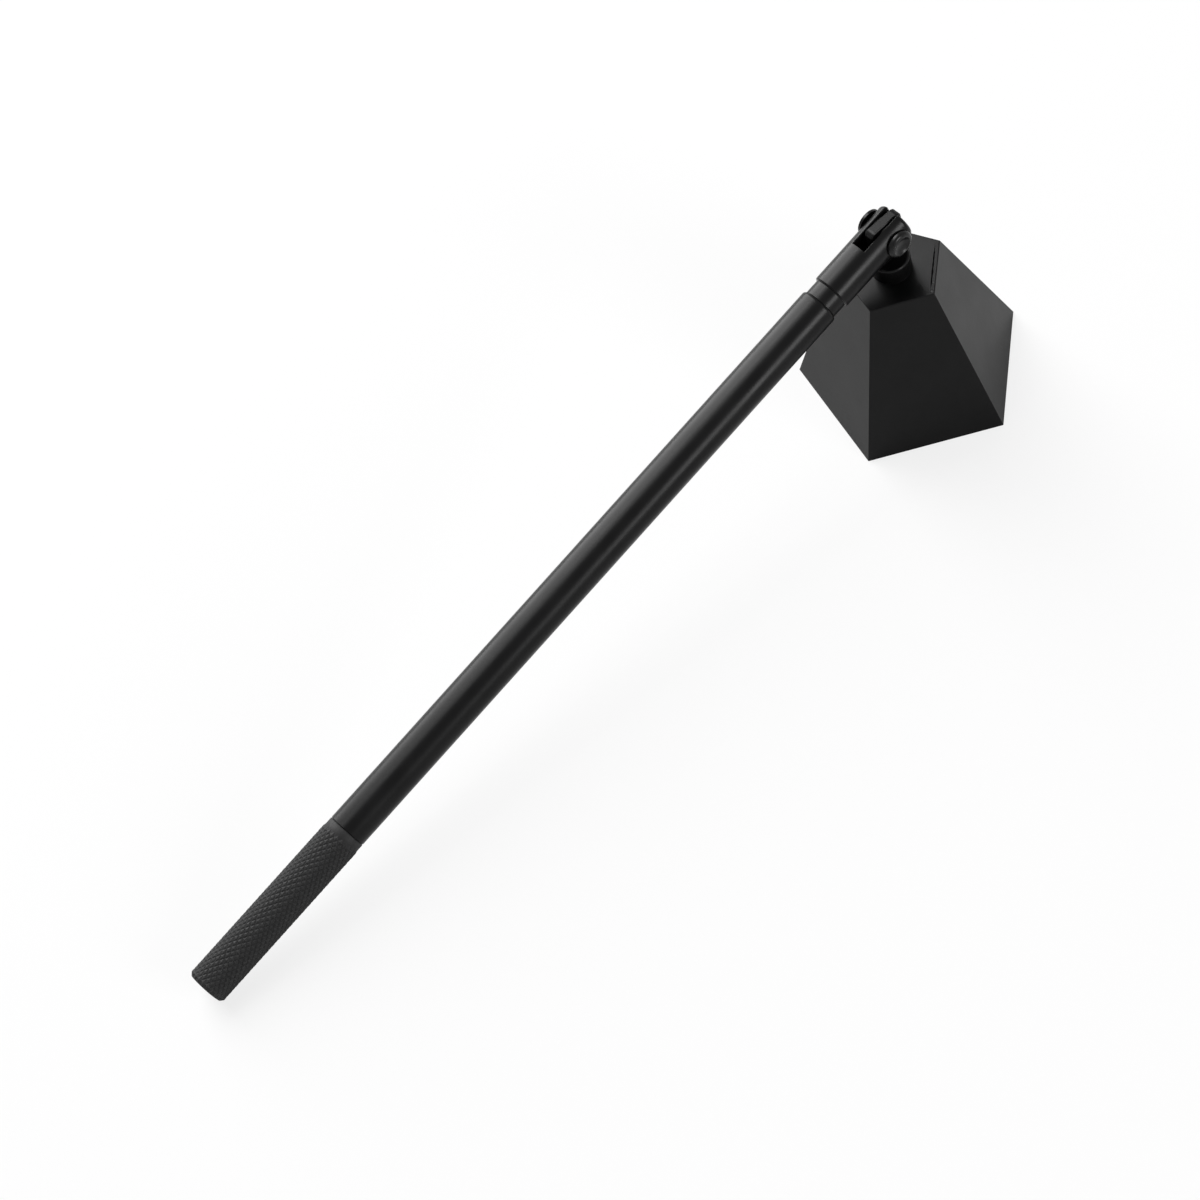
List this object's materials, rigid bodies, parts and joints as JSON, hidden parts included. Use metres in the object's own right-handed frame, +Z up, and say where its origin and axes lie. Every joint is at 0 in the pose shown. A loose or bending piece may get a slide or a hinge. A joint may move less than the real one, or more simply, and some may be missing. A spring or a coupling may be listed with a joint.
{
  "type": "candle snuffer",
  "caption": "Candle snuffer with a pentagonal bell that tilts on a friction hinge at the end of a long round handle with a knurled grip.",
  "frame": {"origin": "middle of the box round the whole snuffer, at the height of the table it rests on", "axes": "+Z up, +X along the handle from the grip towards the bell, +Y along the hinge pin"},
  "size_m": [0.214, 0.0438, 0.0499],
  "materials": {
    "satin_black": "satin black powder coat",
    "knurled_black": "satin black coat over a fine diamond knurl",
    "black_hardware": "blackened steel, semi-gloss",
    "black_nylon": "matt black nylon",
    "plain_steel": "zinc-plated steel"
  },
  "bodies": {
    "handle": {"handle_tube": "satin_black", "upper_tube_bush": "plain_steel", "lower_tube_bush": "plain_steel", "grip": "knurled_black", "grip_stud": "plain_steel", "clevis_fork": "satin_black", "hinge_post": "black_hardware", "hinge_screw": "black_hardware", "front_hinge_washer": "black_nylon", "rear_hinge_washer": "black_nylon"},
    "bell": {"bell_knuckle": "satin_black", "bell_panel_1": "satin_black", "bell_panel_2": "satin_black", "bell_panel_3": "satin_black", "bell_panel_4": "satin_black", "bell_panel_5": "satin_black", "bell_top_plate": "satin_black", "bell_screw": "plain_steel", "bell_flat_washer": "plain_steel", "bell_spring_washer": "plain_steel"}
  },
  "joints": [
    {"name": "bell_tilt", "type": "hinge", "parent": "handle", "child": "bell", "pos_m": [0.08391, 0.00173, 0.04571], "axis": [0, 1, 0], "range_deg": [-214, 9]}
  ]
}
